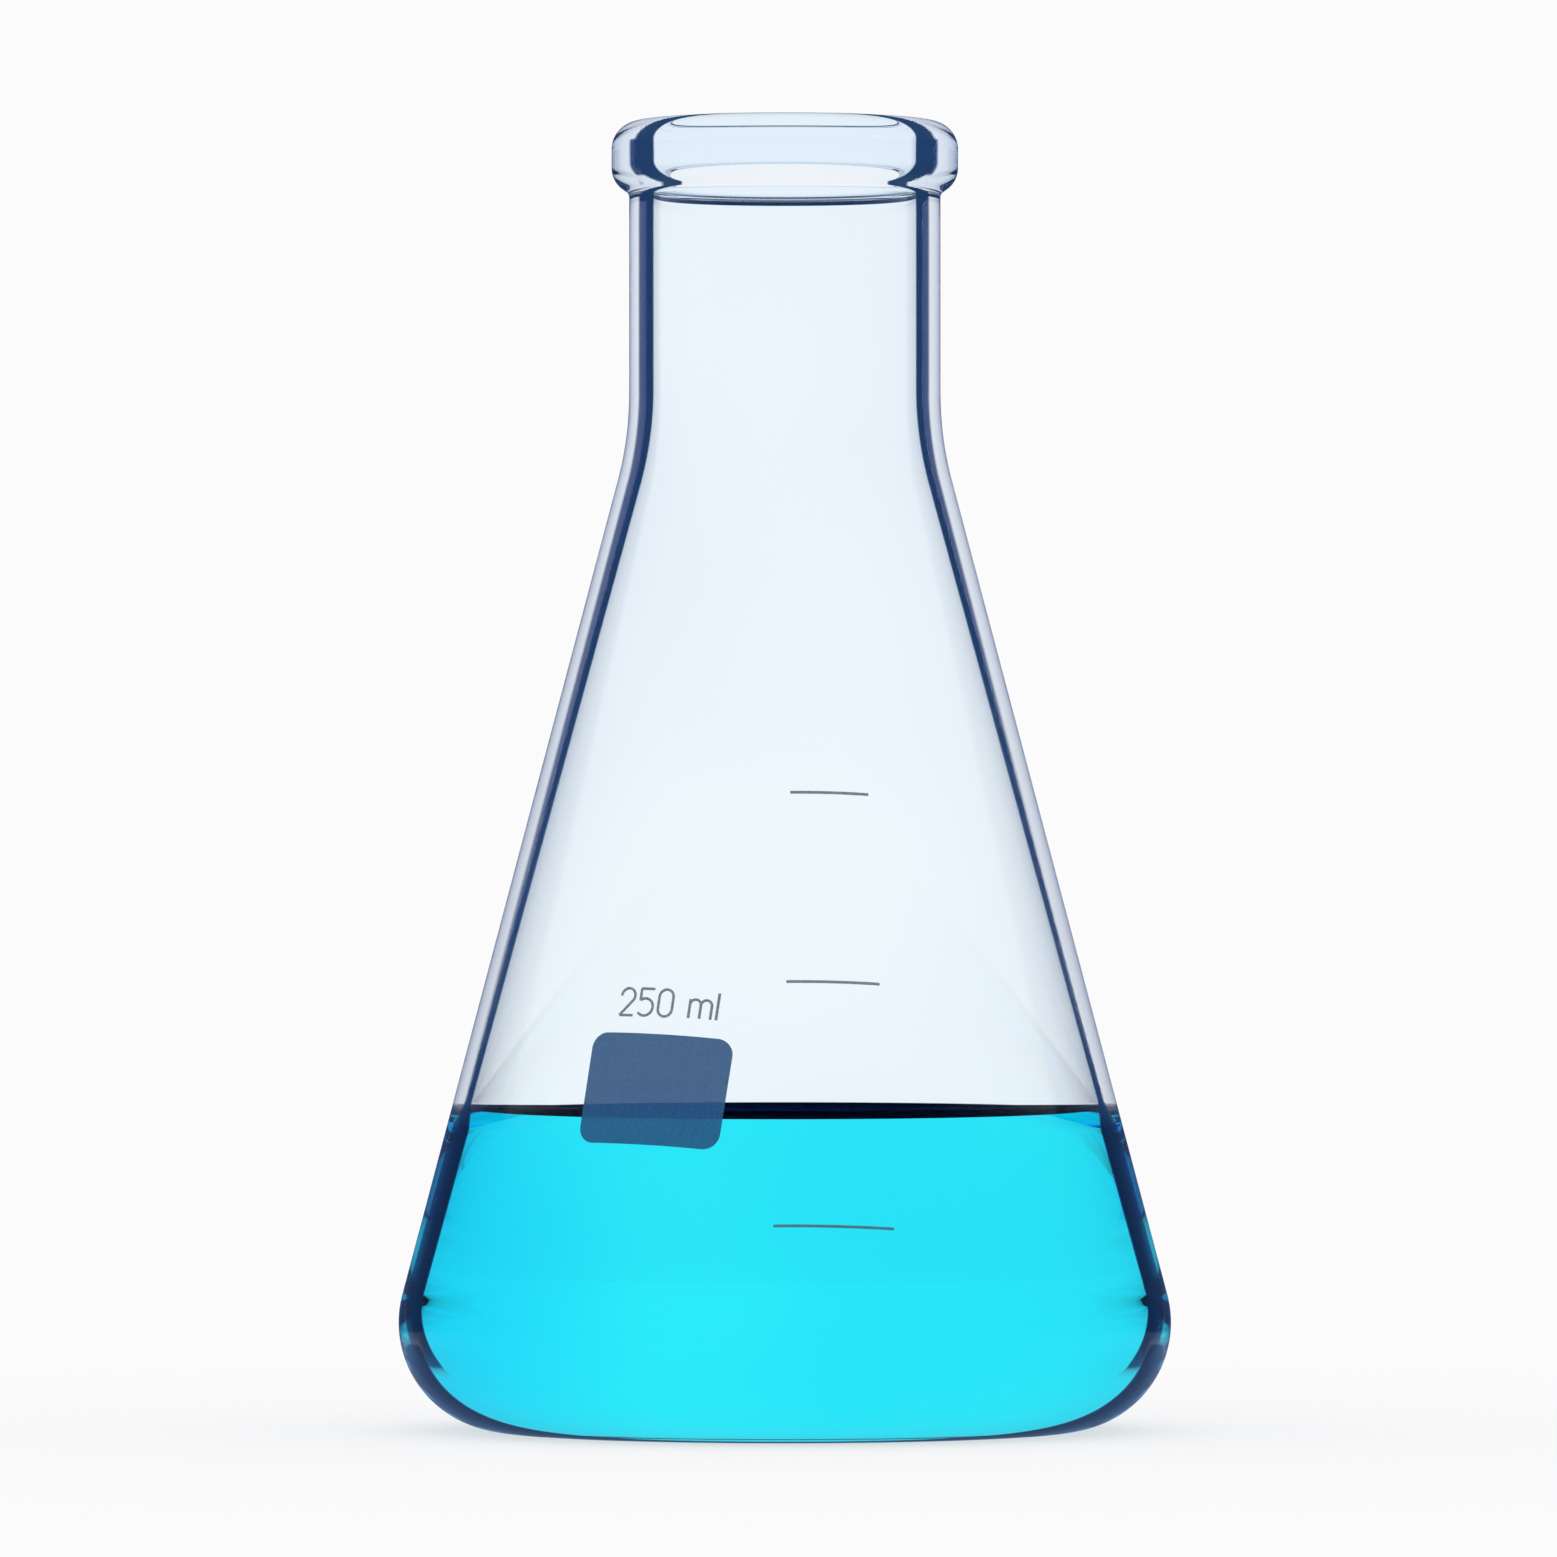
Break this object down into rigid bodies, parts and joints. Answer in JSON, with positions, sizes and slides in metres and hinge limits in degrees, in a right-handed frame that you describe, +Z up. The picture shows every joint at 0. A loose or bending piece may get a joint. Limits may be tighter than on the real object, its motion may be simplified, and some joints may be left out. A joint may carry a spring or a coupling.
{
  "type": "conical flask",
  "caption": "Clear glass conical laboratory flask with a beaded rim, printed volume lines and a marking spot, partly filled with blue liquid.",
  "frame": {"origin": "centre of the base, on the surface that the flask stands on", "axes": "+Z up along the flask's axis, -Y towards the viewer who reads the printing, +X to that viewer's right"},
  "size_m": [0.0854, 0.0854, 0.145],
  "materials": {
    "borosilicate_glass": "clear, fire polished",
    "blue_liquid": "clear dyed liquid",
    "marking_enamel": "matt fired enamel",
    "line_enamel": "matt fired enamel"
  },
  "bodies": {
    "root": {"flask": "borosilicate_glass", "liquid": "blue_liquid", "marking_spot": "marking_enamel", "capacity_numerals": "line_enamel", "graduation_lower": "line_enamel", "graduation_middle": "line_enamel", "graduation_upper": "line_enamel"}
  },
  "joints": []
}
